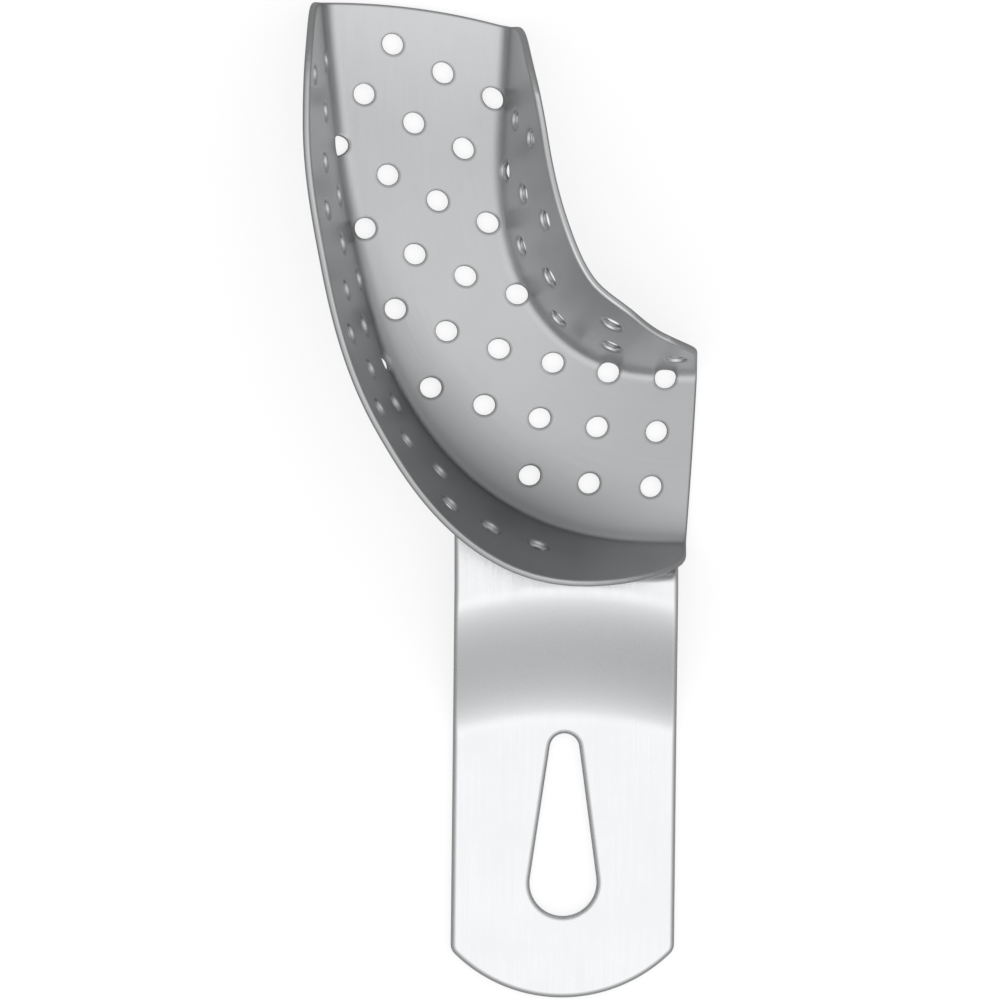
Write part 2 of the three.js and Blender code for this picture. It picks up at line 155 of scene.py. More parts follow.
def arc(middle: tuple[float, float], radius: float, start: float, end: float, steps: int) -> np.ndarray:
    """Points of a circle's arc.

    Args:
        middle: The circle's middle.
        radius: Its radius.
        start: The first angle, in radians.
        end: The last angle.
        steps: How many chords the arc has.

    Returns:
        steps + 1 points.
    """
    angle = np.linspace(start, end, steps + 1)
    return np.column_stack([middle[0] + radius * np.cos(angle), middle[1] + radius * np.sin(angle)])


def lengths_along(points: np.ndarray) -> np.ndarray:
    """The length from a polyline's first point to each of its points."""
    return np.concatenate([[0.0], np.cumsum(np.linalg.norm(np.diff(points, axis=0), axis=1))])


# ---- The pan's shape ----


@dataclass
class Arch:
    """The middle line of the pan's floor: a straight rear leg that runs into a superelliptic quarter.

    Sizes are in millimetres, in the arch's own frame.
    """

    half_width: float = 25.0
    depth: float = 29.0
    squareness: float = 2.3
    rear_leg: float = 11.0
    samples_per_degree: int = 60
    overrun: int = 5

    @cached_property
    def quarter(self) -> tuple[np.ndarray, np.ndarray, np.ndarray]:
        """Points of the quarter, the length to each, and the heading there."""
        samples = (90 + self.overrun) * self.samples_per_degree + 1
        angle = np.radians(np.linspace(0, 90 + self.overrun, samples))
        across = np.abs(np.cos(angle) / self.half_width) ** self.squareness
        down = np.abs(np.sin(angle) / self.depth) ** self.squareness
        radius = (across + down) ** (-1 / self.squareness)
        points = np.column_stack([-radius * np.cos(angle), -radius * np.sin(angle)])
        run = np.gradient(points, axis=0)
        return points, lengths_along(points), np.unwrap(np.arctan2(run[:, 1], run[:, 0]))

    @cached_property
    def length(self) -> float:
        """Length of the middle line, from the rear end to the front end."""
        return self.rear_leg + self.quarter[1][90 * self.samples_per_degree]

    def at(self, distance: np.ndarray) -> tuple[np.ndarray, np.ndarray]:
        """Finds the middle line's points.

        Args:
            distance: Distances from the rear end.

        Returns:
            The points, and the directions there that point to the inner side.
        """
        points, lengths, headings = self.quarter
        past = distance - self.rear_leg
        x = np.interp(past, lengths, points[:, 0])
        y = np.interp(past, lengths, points[:, 1]) - np.minimum(past, 0)
        heading = np.interp(past, lengths, headings)
        return np.column_stack([x, y]), np.column_stack([-np.sin(heading), np.cos(heading)])


@dataclass
class PanShape:
    """The pan's cross-sections and perforation, in millimetres and degrees.

    A tuple gives a size at stations spaced evenly from the rear end to the cut front end. A point of the
    blank is its length along the arch, its length across from the middle of the floor, negative on the
    outer side, and its height over the face that becomes the trough's.
    """

    arch: Arch = field(default_factory=Arch)
    sheet: float = 0.7
    rear_cut: float = 7.6
    rear_bow: float = 0.6
    front_cut: float = 3.8
    floors: dict[Side, tuple[float, ...]] = field(
        default_factory=lambda: {
            Side.OUTER: (8.45, 7.3, 6.3, 7.3, 8.15, 7.6),
            Side.INNER: (8.2, 7.6, 7.25, 7.05, 7.1, 7.5),
        }
    )
    spreads: dict[Side, tuple[float, ...]] = field(
        default_factory=lambda: {
            Side.OUTER: (0.9, 2.4, 2.95, 3.4, 5.0, 3.8),
            Side.INNER: (1.3, 3.8, 5.1, 5.2, 4.8, 2.0),
        }
    )
    heights: dict[Side, tuple[float, ...]] = field(
        default_factory=lambda: {
            Side.OUTER: (10.5, 13.0, 14.2, 14.6, 14.8, 14.8),
            Side.INNER: (9.0, 12.0, 13.8, 13.8, 13.2, 9.8),
        }
    )
    leans: dict[Side, tuple[float, ...]] = field(
        default_factory=lambda: {
            Side.OUTER: (8.0, 10.5, 11.0, 13.0, 15.5, 16.0),
            Side.INNER: (15.0, 18.0, 19.0, 19.0, 19.0, 15.0),
        }
    )
    bend_runs: dict[Side, tuple[float, ...]] = field(
        default_factory=lambda: {
            Side.OUTER: (1.2, 1.2, 1.5, 3.0, 5.4, 5.6),
            Side.INNER: (0.9, 0.9, 0.9, 0.9, 0.9, 0.9),
        }
    )
    bend_climbs: dict[Side, tuple[float, ...]] = field(
        default_factory=lambda: {
            Side.OUTER: (1.1, 1.1, 1.1, 1.3, 1.5, 1.5),
            Side.INNER: (0.9, 0.9, 0.9, 0.9, 0.9, 0.9),
        }
    )
    corners: dict[Side, tuple[float, float]] = field(
        default_factory=lambda: {Side.OUTER: (7.0, 10.5), Side.INNER: (6.4, 3.5)}
    )
    flare_start: float = 0.55
    hole_radius: float = 0.95
    lattice_middle: tuple[float, float] = (-20.62, -12.72)
    column_step: tuple[float, float] = (4.64, -1.83)
    row_step: tuple[float, float] = (-1.87, -4.92)
    column_bend: tuple[float, float] = (0.043, 0.174)
    shared_bend: tuple[float, float] = (0.066, 0.022)
    row_bend: tuple[float, float] = (0.148, -0.07)
    column_twist: tuple[float, float] = (0.023, 0.011)
    lattice_reach: int = 9
    end_land: float = 2.2
    rim_land: float = 2.7
    plain_bend_from: float = 0.61
    plain_below: float = 2.0
    plain_above: float = 4.0
    plain_wall_from: float = 0.86
    curve_samples: int = 17
    search_stations: int = 4001  # places along the arch among which a hole finds its own
    stretch_span: float = 1.0  # length of blank that a hole's stretch is measured over

    def size(
        self, sizes: dict[Side, tuple[float, ...]], along: np.ndarray, outer: np.ndarray
    ) -> np.ndarray:
        """Reads a size at points of the blank.

        Args:
            sizes: The size at the stations of each side.
            along: Lengths along the arch.
            outer: Whether each point is on the outer side.

        Returns:
            The size at each point.
        """
        share = along / self.arch.length
        return np.where(
            outer, station_size(sizes[Side.OUTER], share), station_size(sizes[Side.INNER], share)
        )

    def side_curves(self, along: np.ndarray, outer: np.ndarray) -> tuple[np.ndarray, list, list]:
        """The curves of one half of the section.

        Args:
            along: Lengths along the arch.
            outer: Whether each half is the outer one.

        Returns:
            Where the flat floor ends, the points of the bend and those of the flared wall.
        """
        floor = self.size(self.floors, along, outer)
        rise = self.size(self.heights, along, outer) - self.sheet
        lean = np.radians(self.size(self.leans, along, outer))
        run = self.size(self.bend_runs, along, outer)
        climb = self.size(self.bend_climbs, along, outer)
        flat = floor - run
        rim = np.column_stack([floor + self.size(self.spreads, along, outer), rise])
        foot = np.column_stack([floor, np.zeros_like(floor)])
        wall_start = foot + climb[:, None] * np.column_stack([np.sin(lean), np.cos(lean)])
        flare = np.column_stack([floor + self.flare_start * rise * np.tan(lean), self.flare_start * rise])
        return flat, [foot - [1, 0] * run[:, None], foot, wall_start], [wall_start, flare, rim]

    def curve_lengths(self, curve: list) -> np.ndarray:
        """Length from each curve's start to each of its sample points, one row for a curve."""
        u = np.linspace(0, 1, self.curve_samples)[None, :, None]
        points = quadratic(tuple(p[:, None, :] for p in curve), u)
        steps = np.linalg.norm(np.diff(points, axis=1), axis=2)
        return np.concatenate([np.zeros((len(steps), 1)), np.cumsum(steps, axis=1)], axis=1)

    def on_curve(self, curve: list, length: np.ndarray) -> tuple[np.ndarray, np.ndarray, np.ndarray]:
        """Finds points at lengths along quadratic curves.

        Args:
            curve: The start, control and end points of a curve for each point.
            length: Lengths from the curves' starts.

        Returns:
            The points, the directions of the curves there, and the curves' whole lengths.
        """
        sums = self.curve_lengths(curve)
        rows = np.arange(len(length))
        step = np.clip((sums[:, 1:] < length[:, None]).sum(1), 0, self.curve_samples - 2)
        low, high = sums[rows, step], sums[rows, step + 1]
        u = np.clip((step + (length - low) / (high - low)) / (self.curve_samples - 1), 0, 1)[:, None]
        start, control, end = curve
        way = (1 - u) * (control - start) + u * (end - control)
        return quadratic(tuple(curve), u), way / np.linalg.norm(way, axis=1)[:, None], sums[:, -1]

    def face(self, along: np.ndarray, across: np.ndarray) -> tuple[np.ndarray, np.ndarray]:
        """Finds the trough's face in its section.

        Args:
            along: Lengths along the arch.
            across: Lengths across the blank.

        Returns:
            The offset and height of each point, and the face's upward normal there.
        """
        outer = across < 0
        flat, bend, wall = self.side_curves(along, outer)
        reach = np.abs(across)
        bend_point, bend_way, bend_length = self.on_curve(bend, reach - flat)
        wall_point, wall_way, _ = self.on_curve(wall, reach - flat - bend_length)
        on_floor = (reach <= flat)[:, None]
        on_bend = (reach <= flat + bend_length)[:, None]
        point = np.where(on_bend, bend_point, wall_point)
        point = np.where(on_floor, np.column_stack([reach, np.zeros_like(reach)]), point)
        way = np.where(on_floor, [1.0, 0.0], np.where(on_bend, bend_way, wall_way))
        turn = np.where(outer, -1.0, 1.0)
        return (
            np.column_stack([turn * point[:, 0], point[:, 1]]),
            np.column_stack([-turn * way[:, 1], way[:, 0]]),
        )

    def end_shift(self, along: np.ndarray, offset: np.ndarray) -> np.ndarray:
        """How far the skew and the bulge of the end cuts move points along the arch."""
        share = along / self.arch.length
        rear, front = (math.tan(math.radians(cut)) for cut in (self.rear_cut, self.front_cut))
        floor = self.size(self.floors, along, offset < 0)
        reach = np.clip(offset, -floor, floor)
        bulge = self.rear_bow * np.maximum(1 - share, 0) * (1 - (reach / floor) ** 2)
        return (rear + (front - rear) * share) * reach - bulge

    def place(self, blank: np.ndarray) -> np.ndarray:
        """Forms points of the blank.

        Args:
            blank: Points of the blank.

        Returns:
            Where pressing carries them, in millimetres in the arch's frame.
        """
        along, across, depth = blank.T
        face, normal = self.face(along, across)
        line, inward = self.arch.at(along + self.end_shift(along, face[:, 0]))
        sideways = face[:, 0] + depth * normal[:, 0]
        spot = line + inward * sideways[:, None]
        return np.column_stack([spot, self.sheet + face[:, 1] + depth * normal[:, 1]])

    def rim_reach(self, along: np.ndarray, side: Side) -> np.ndarray:
        """Length across the blank from its middle to the rim, before the corners are rounded."""
        flat, bend, wall = self.side_curves(along, np.full(len(along), side is Side.OUTER))
        return flat + self.curve_lengths(bend)[:, -1] + self.curve_lengths(wall)[:, -1]

    def trimmed_reach(self, along: np.ndarray, side: Side) -> np.ndarray:
        """Length across the blank from its middle to its rounded outline."""
        drop = np.zeros_like(along)
        for radius, distance in zip(self.corners[side], (along, self.arch.length - along)):
            short = np.clip(radius - distance, 0, radius)
            drop = np.maximum(drop, radius - np.sqrt(radius**2 - short**2))
        return self.rim_reach(along, side) - drop

    def outline(self, step: float, corner_steps: int) -> np.ndarray:
        """The blank's outline, anticlockwise.

        Args:
            step: The longest chord along the rims and ends.
            corner_steps: Chords in each rounded corner.

        Returns:
            The outline's points in the plane of the blank.
        """
        length = self.arch.length
        sides = []
        for side in Side:
            rear, front = self.corners[side]
            turn = np.linspace(0, math.pi / 2, corner_steps + 1)
            rear_part = rear * (1 - np.cos(turn))
            middle = np.linspace(rear, length - front, math.ceil((length - rear - front) / step))[1:-1]
            front_part = length - front * (1 - np.cos(turn[::-1]))
            along = np.concatenate([rear_part, middle, front_part])
            sides.append(np.column_stack([along, side.value * self.trimmed_reach(along, side)]))
        outer, inner = sides[0], sides[1][::-1]
        joins = []
        for start, end in ((outer[-1], inner[0]), (inner[-1], outer[0])):
            count = math.ceil(np.linalg.norm(end - start) / step)
            joins.append(np.linspace(start, end, count + 1)[1:-1])
        return np.concatenate([outer, joins[0], inner, joins[1]])

    def lattice(self) -> np.ndarray:
        """Every point of the punch lattice, in the arch's frame."""
        steps = np.arange(-self.lattice_reach, self.lattice_reach + 1)
        i, j = (grid.ravel()[:, None] for grid in np.meshgrid(steps, steps, indexing="ij"))
        terms = (
            (1, self.lattice_middle),
            (i, self.column_step),
            (j, self.row_step),
            (i * i, self.column_bend),
            (i * j, self.shared_bend),
            (j * j, self.row_bend),
            (i * i * j, self.column_twist),
        )
        return sum(factor * np.array([vector]) for factor, vector in terms)

    def holes(self, kept_clear: "StripShape") -> np.ndarray:
        """Chooses the lattice points that are punched.

        Args:
            kept_clear: The handle, which backs a plain part of the wall.

        Returns:
            For each hole, its length along, its length across and how much pressing stretches the blank.
        """
        length = self.arch.length
        stations = np.linspace(0, length, self.search_stations)
        line, inward = self.arch.at(stations)
        points = self.lattice()
        near = np.linalg.norm(points[:, None, :] - line[None], axis=2).argmin(1)
        along = stations[near]
        across = ((points - line[near]) * inward[near]).sum(1)
        outer = across < 0
        face, _ = self.face(along, across)
        start = along - self.end_shift(along, face[:, 0])
        reach = np.where(
            outer, self.trimmed_reach(start, Side.OUTER), self.trimmed_reach(start, Side.INNER)
        )
        formed = self.place(np.column_stack([start, across, np.zeros_like(start)]))
        past_foot = -across - self.size(self.floors, along, outer)
        on_plain = (past_foot > -self.plain_below) & (past_foot < self.plain_above)
        on_plain &= along > self.plain_bend_from * length
        on_plain |= (along > self.plain_wall_from * length) & (past_foot > 0)
        behind = np.abs(formed[:, 0] - kept_clear.middle) < kept_clear.width / 2
        behind &= (past_foot > 0) & (face[:, 1] + self.sheet < kept_clear.crest)
        kept = (np.minimum(start, length - start) >= self.end_land) & (
            reach - np.abs(across) >= self.rim_land
        )
        kept &= ~(outer & (on_plain | behind))
        start, across = start[kept], across[kept]
        low, high = (
            self.place(np.column_stack([start + shift, across, np.zeros_like(start)]))
            for shift in (-self.stretch_span / 2, self.stretch_span / 2)
        )
        stretch = np.linalg.norm(high - low, axis=1) / self.stretch_span
        return np.column_stack([start, across, stretch])


# ---- The handle's shape ----


@dataclass
class StripShape:
    """The handle: a strip that stands against the pan's wall, bends over and runs down to a flat grip.

    A point of the blank is its place across the strip, its place along it, which is the plan's y all over
    the grip, and its height over the strip's upper face. Sizes are in millimetres and degrees.
    """

    pan: PanShape = field(default_factory=PanShape)
    sheet: float = 1.2
    width: float = 20.3
    middle: float = -11.45
    turn: float = 0.63
    tab_foot: float = 2.0
    tab_top: float = 5.4
    tab_gap: float = 0.2
    tab_corner: float = 0.8
    crest: float = 7.2
    bend_reach: float = 1.7
    bend_rise: float = 0.55
    bend_level: float = 0.5
    crest_land: float = 0.3
    neck_run: float = 12.5
    neck_arch: float = 1.4
    neck_fullness: float = 0.28
    grip_length: float = 24.9
    grip_end_radius: float = 14.0
    grip_corner: float = 1.2
    eye_length: float = 16.6
    eye_top_radius: float = 1.35
    eye_foot_radius: float = 3.05
    eye_to_end: float = 7.4
    weld_count: int = 3
    weld_pitch: float = 5.6
    weld_height: float = 4.1
    weld_radius: float = 1.3
    weld_dent: float = 0.16
    columns: int = 61  # in the table of the formed face
    rows: int = 700
    tab_rows: int = 18  # points up the tab
    curve_rows: int = 120  # points in the neck, and in the bend
    flat_margin: float = 1.0  # how far the table starts short of the neck
    wall_search: tuple[float, float] = (0.5, 0.8)  # the least and the first share of the arch tried
    wall_passes: int = 40

    @cached_property
    def xs(self) -> np.ndarray:
        """Where the strip's columns stand."""
        return self.middle + self.width * np.linspace(-0.5, 0.5, self.columns)

    def wall(self, x: np.ndarray, z: np.ndarray) -> np.ndarray:
        """Finds the face that the tab lies against.

        Args:
            x: Places across the handle.
            z: Heights over the underside.

        Returns:
            The y of each point.
        """
        length = self.pan.arch.length
        least, first = (share * length for share in self.wall_search)
        depth = np.full(len(x), -self.pan.sheet - self.tab_gap)
        along = np.full(len(x), first)
        across = np.full(len(x), -max(self.pan.floors[Side.OUTER]))
        for _ in range(self.wall_passes):
            here = self.pan.place(np.column_stack([along, across, depth]))
            along = np.clip(along + (x - here[:, 0]), least, length)
            across = across - (z - here[:, 2])
        return self.pan.place(np.column_stack([along, across, depth]))[:, 1]

    @cached_property
    def tabs(self) -> np.ndarray:
        """The y and z of each column's tab points, from its foot up."""
        heights = np.linspace(self.tab_foot, self.tab_top, self.tab_rows)
        x, z = (grid.ravel() for grid in np.meshgrid(self.xs, heights, indexing="ij"))
        return np.column_stack([self.wall(x, z), z]).reshape(self.columns, len(heights), 2)

    @cached_property
    def crest_y(self) -> float:
        """Where the neck starts, in the middle of the strip."""
        return float(self.tabs[:, -1, 0].min()) - self.bend_reach - self.crest_land

    @property
    def grip_y(self) -> float:
        """Where the neck ends, in the middle of the strip."""
        return self.crest_y - self.neck_run

    @property
    def end_y(self) -> float:
        """The far end of the grip."""
        return self.grip_y - self.grip_length

    @property
    def flat_y(self) -> float:
        """Below this the whole width of the strip is flat."""
        return self.grip_y - self.neck_arch - self.flat_margin

    def column_path(self, column: int) -> np.ndarray:
        """The upper face's line in one column, from the flat grip up to the foot of the tab."""
        tab = self.tabs[column]
        top = tab[-1]
        up = (tab[-1] - tab[-2]) / np.linalg.norm(tab[-1] - tab[-2])
        bow = self.neck_arch * ((self.xs[column] - self.middle) / (self.width / 2)) ** 2
        level = np.array([self.neck_fullness * self.neck_run, 0])
        neck_foot = np.array([self.grip_y - bow, self.sheet])
        neck_top = np.array([self.crest_y - bow, self.crest])
        bend_end = np.array([top[0] - self.bend_reach, self.crest])
        u = np.linspace(0, 1, self.curve_rows)
        neck = cubic((neck_foot, neck_foot + level, neck_top - level, neck_top), u)
        bend = cubic(
            (
                bend_end,
                bend_end + [self.bend_level * self.bend_reach, 0],
                top + up * (self.crest - self.tab_top) * self.bend_rise,
                top,
            ),
            u,
        )
        return np.concatenate([[[self.flat_y, self.sheet]], neck, bend, tab[-2::-1]])

    @cached_property
    def formed(self) -> tuple[np.ndarray, float]:
        """The formed face as a table over columns and rows, and the length of blank that it takes.

        Each entry holds the y and z of the face and the y and z of its direction along the strip.
        """
        table = []
        spans = []
        for column in range(self.columns):
            path = self.column_path(column)
            lengths = lengths_along(path)
            rows = np.linspace(0, lengths[-1], self.rows)
            y, z = (np.interp(rows, lengths, path[:, axis]) for axis in (0, 1))
            run_y, run_z = np.gradient(y), np.gradient(z)
            size = np.hypot(run_y, run_z)
            table.append(np.column_stack([y, z, run_y / size, run_z / size]))
            spans.append(lengths[-1])
        return np.array(table), spans[self.columns // 2]

    @property
    def top_y(self) -> float:
        """The blank's upper end, which becomes the foot of the tab."""
        return self.flat_y + self.formed[1]

    def weld_spots(self) -> np.ndarray:
        """Places of the spot welds in the plane of the blank."""
        table, span = self.formed
        heights = table[self.columns // 2, :, 1]
        on_tab = np.arange(self.rows) > self.rows // 2
        row = np.abs(np.where(on_tab, heights, 0) - self.weld_height).argmin()
        order = np.arange(self.weld_count) - (self.weld_count - 1) / 2
        spots = self.middle + order * self.weld_pitch
        return np.column_stack([spots, np.full(len(spots), self.flat_y + span * row / (self.rows - 1))])

    def dent(self, blank: np.ndarray) -> np.ndarray:
        """Share of a weld dent's depth at points of the blank."""
        gaps = np.linalg.norm(blank[:, None, :2] - self.weld_spots()[None], axis=2).min(1)
        return np.clip(1 - (gaps / self.weld_radius) ** 4, 0, 1) ** 2

    def place(self, blank: np.ndarray) -> np.ndarray:
        """Forms points of the blank.

        Args:
            blank: Points of the blank.

        Returns:
            Where bending carries them, in millimetres in the arch's frame.
        """
        x, along, depth = blank.T
        table, span = self.formed
        column = np.clip((x - self.xs[0]) / (self.xs[-1] - self.xs[0]), 0, 1) * (self.columns - 1)
        row = np.clip((along - self.flat_y) / span, 0, 1) * (self.rows - 1)
        c = np.minimum(column.astype(int), self.columns - 2)
        r = np.minimum(row.astype(int), self.rows - 2)
        s, t = (column - c)[:, None], (row - r)[:, None]
        near = table[c, r] * (1 - t) + table[c, r + 1] * t
        far = table[c + 1, r] * (1 - t) + table[c + 1, r + 1] * t
        y, z, run_y, run_z = (near * (1 - s) + far * s).T
        past_top = np.maximum(along - self.top_y, 0)
        y = y + np.minimum(along - self.flat_y, 0) + past_top * run_y
        z = z + past_top * run_z
        low_face = np.clip(-depth / self.sheet, 0, 1)
        out = -depth - self.weld_dent * self.dent(blank) * low_face**4
        y = y + out * run_z
        z = z - out * run_y
        slope = math.tan(math.radians(self.turn))
        return np.column_stack([x + slope * np.minimum(y - self.crest_y, 0), y, z])

    def outline(self, corner_steps: int, end_steps: int) -> np.ndarray:
        """The blank's outline, anticlockwise.

        Args:
            corner_steps: Chords in each rounded corner.
            end_steps: Chords in the long arc of the grip's end.

        Returns:
            The outline's points in the plane of the blank.
        """
        half, corner, large = self.width / 2, self.grip_corner, self.grip_end_radius
        lean = math.asin((half - corner) / (large - corner))
        corner_y = self.end_y + large - (large - corner) * math.cos(lean)
        end_y = self.end_y + large
        down = 1.5 * math.pi
        left, right = self.middle - half, self.middle + half
        top, small = self.top_y, self.tab_corner
        parts = [
            arc((left + corner, corner_y), corner, math.pi, down - lean, corner_steps),
            arc((self.middle, end_y), large, down - lean, down + lean, end_steps)[1:-1],
            arc((right - corner, corner_y), corner, down + lean, 2 * math.pi, corner_steps),
            arc((right - small, top - small), small, 0, math.pi / 2, corner_steps),
            arc((left + small, top - small), small, math.pi / 2, math.pi, corner_steps),
        ]
        return np.concatenate(parts)

    def eye(self, steps: int) -> np.ndarray:
        """The eye's outline, anticlockwise, of two circles joined by their common tangents."""
        foot_y = self.end_y + self.eye_to_end + self.eye_foot_radius
        top_y = self.end_y + self.eye_to_end + self.eye_length - self.eye_top_radius
        taper = math.asin((self.eye_foot_radius - self.eye_top_radius) / (top_y - foot_y))
        top = arc((self.middle, top_y), self.eye_top_radius, taper, math.pi - taper, steps)
        foot_middle, turn = (self.middle, foot_y), 2 * math.pi
        foot = arc(foot_middle, self.eye_foot_radius, math.pi - taper, turn + taper, steps)
        return np.concatenate([top, foot])


# ---- Sheet metal work ----


class Shape(Protocol):
    """Anything that forms a flat blank."""

    sheet: float

    def place(self, blank: np.ndarray) -> np.ndarray:
        """Carries points of the blank to their formed places."""


def deselect() -> None:
    """Leaves nothing selected."""
    bpy.ops.object.select_all(action="DESELECT")


def select_only(piece: bpy.types.Object) -> None:
    """Makes a piece the only selected one, and the active one."""
    deselect()
    piece.select_set(True)
    bpy.context.view_layer.objects.active = piece


def apply_modifier(piece: bpy.types.Object, kind: str, **settings: object) -> None:
    """Adds a modifier to a piece and applies it.

    Args:
        piece: The piece.
        kind: The modifier's type.
        **settings: Its settings.
    """
    modifier = piece.modifiers.new(kind.lower(), kind)
    for name, value in settings.items():
        setattr(modifier, name, value)
    select_only(piece)
    bpy.ops.object.modifier_apply(modifier=modifier.name)


@dataclass(frozen=True)
class HoleMouth:
    """How a punch has drawn down the edges of its holes. Sizes are in millimetres."""

    reach: float = 0.42
    depth: float = 0.1
    burr: float = 0.07
    steps: int = 5
    start: float = 0.011  # how far over the sheet the mouth's curve starts

    def section(self, radius: float, sheet: float, stand: float) -> list[tuple[float, float]]:
        """The punch's section from its top down.

        Args:
            radius: The hole's radius below its mouth.
            sheet: The sheet's thickness.
            stand: How far the punch stands past both faces.

        Returns:
            Radii and heights, from above the sheet to below it.
        """
        wide = radius + self.reach
        mouth = []
        for step in range(self.steps + 1):
            share = step / self.steps
            mouth.append((wide - self.reach * share, self.start - self.depth * share**2))
        foot = [
            (radius, self.burr - sheet),
            (radius + self.burr / 2, self.burr / 4 - sheet),
            (radius + self.burr, -sheet - self.start),
            (radius + self.burr, -sheet - stand),
        ]
        return [(wide, stand), *mouth, *foot]


@dataclass
class Blank:
    """A flat blank on the bench, with its upper face at height 0."""

    name: str
    sheet: float
    punch_stand: float = 1.0
    sharp_from: float = 50.0  # the least angle of an edge that is rounded, in degrees

    def cut(self, outline: np.ndarray) -> bpy.types.Object:
        """Cuts the blank out of the sheet.

        Args:
            outline: Its outline, anticlockwise.

        Returns:
            The blank as a mesh object.
        """
        self.piece = self._plate(self.name, outline, -self.sheet, 0.0)
        return self.piece

    def punch(self, outlines: list[np.ndarray]) -> None:
        """Punches straight holes through the blank.

        Args:
            outlines: The outline of each punch, anticlockwise.
        """
        self._strike(
            [
                self._plate(f"punch_{i}", outline, -self.sheet - self.punch_stand, self.punch_stand)
                for i, outline in enumerate(outlines)
            ]
        )

    def punch_round(self, spots: np.ndarray, radius: float, sides: int, mouth: HoleMouth) -> None:
        """Punches round holes and draws their edges down.

        Args:
            spots: For each hole, its x, its y and how much forming will stretch the blank along x.
            radius: Radius of the formed holes.
            sides: Facets round a hole.
            mouth: The section of the holes' edges.
        """
        self._strike([self._round_punch(spot, radius, sides, mouth) for spot in spots])

    def _round_punch(
        self, spot: np.ndarray, radius: float, sides: int, mouth: HoleMouth
    ) -> bpy.types.Object:
        """Makes one punch, a filled circle that is extruded and resized down its section.

        Args:
            spot: The hole's x and y, and the stretch there.
            radius: Radius of the formed hole.
            sides: Facets round it.
            mouth: The section of the hole's edge.

        Returns:
            The punch.
        """
        x, y, stretch = (float(part) for part in spot)
        section = mouth.section(radius, self.sheet, self.punch_stand)
        deselect()
        bpy.ops.mesh.primitive_circle_add(vertices=sides, radius=section[0][0], fill_type="NGON")
        punch = bpy.context.active_object
        punch.location = (x, y, section[0][1])
        punch.scale = (1 / stretch, 1, 1)
        bpy.ops.object.transform_apply(location=True, rotation=True, scale=True)
        bpy.ops.object.mode_set(mode="EDIT")
        bpy.ops.mesh.select_all(action="SELECT")
        for (before, above), (after, below) in zip(section, section[1:]):
            bpy.ops.mesh.extrude_region_move(TRANSFORM_OT_translate={"value": (0, 0, below - above)})
            size = after / before
            bpy.ops.transform.resize(value=(size, size, 1), center_override=(x, y, below))
        bpy.ops.mesh.select_all(action="SELECT")
        bpy.ops.mesh.normals_make_consistent(inside=False)
        bpy.ops.object.mode_set(mode="OBJECT")
        return punch

    def _strike(self, punches: list[bpy.types.Object]) -> None:
        """Cuts the punches out of the blank, all in one stroke.

        Args:
            punches: The punches, which are used up.
        """
        select_only(punches[0])
        for punch in punches:
            punch.select_set(True)
        if len(punches) > 1:
            bpy.ops.object.join()
        tool = bpy.context.view_layer.objects.active
        apply_modifier(self.piece, "BOOLEAN", operation="DIFFERENCE", solver="EXACT", object=tool)
        bpy.data.objects.remove(tool)

    def round_edges(self, width: float, segments: int) -> None:
        """Rounds the cut edges over.

        Args:
            width: How far the rounding reaches from each edge.
            segments: Facets in the rounding.
        """
        apply_modifier(
            self.piece,
            "BEVEL",
            width=width,
            segments=segments,
            limit_method="ANGLE",
            angle_limit=math.radians(self.sharp_from),
            use_clamp_overlap=False,
        )

    def score(self, axis: int, places: np.ndarray) -> None:
        """Divides the blank's faces along straight lines, so that it can bend there.

        Args:
            axis: 0 for lines of constant x, 1 for lines of constant y.
            places: Where the lines lie.
        """
        normal = (1.0, 0.0, 0.0) if axis == 0 else (0.0, 1.0, 0.0)
        select_only(self.piece)
        bpy.ops.object.mode_set(mode="EDIT")
        for place in places:
            bpy.ops.mesh.select_all(action="SELECT")
            spot = tuple(float(place) * part for part in normal)
            bpy.ops.mesh.bisect(plane_co=spot, plane_no=normal, threshold=FACE_TOLERANCE)
        bpy.ops.object.mode_set(mode="OBJECT")

    def form(self, shape: Shape, shift: np.ndarray) -> bpy.types.Object:
        """Carries the blank's points and the directions its surface faces to their formed places.

        Args:
            shape: What the blank becomes.
            shift: From the arch's frame to the CAD model's, in metres.

        Returns:
            The formed piece.
        """
        mesh = self.piece.data
        count = len(mesh.vertices)
        flat = np.zeros(count * 3)
        mesh.vertices.foreach_get("co", flat)
        flat = flat.reshape(-1, 3)
        facing = np.zeros(count * 3)
        mesh.vertices.foreach_get("normal", facing)
        facing = facing.reshape(-1, 3)
        on_top = flat[:, 2] > -FACE_TOLERANCE
        on_bottom = flat[:, 2] < FACE_TOLERANCE - self.sheet
        facing[on_top] = (0, 0, 1)
        facing[on_bottom] = (0, 0, -1)
        middle = shape.place(flat)  # the formed places, before the shift and in millimetres
        ways = [shape.place(flat + way) - middle for way in FORMING_STEP * np.eye(3)]
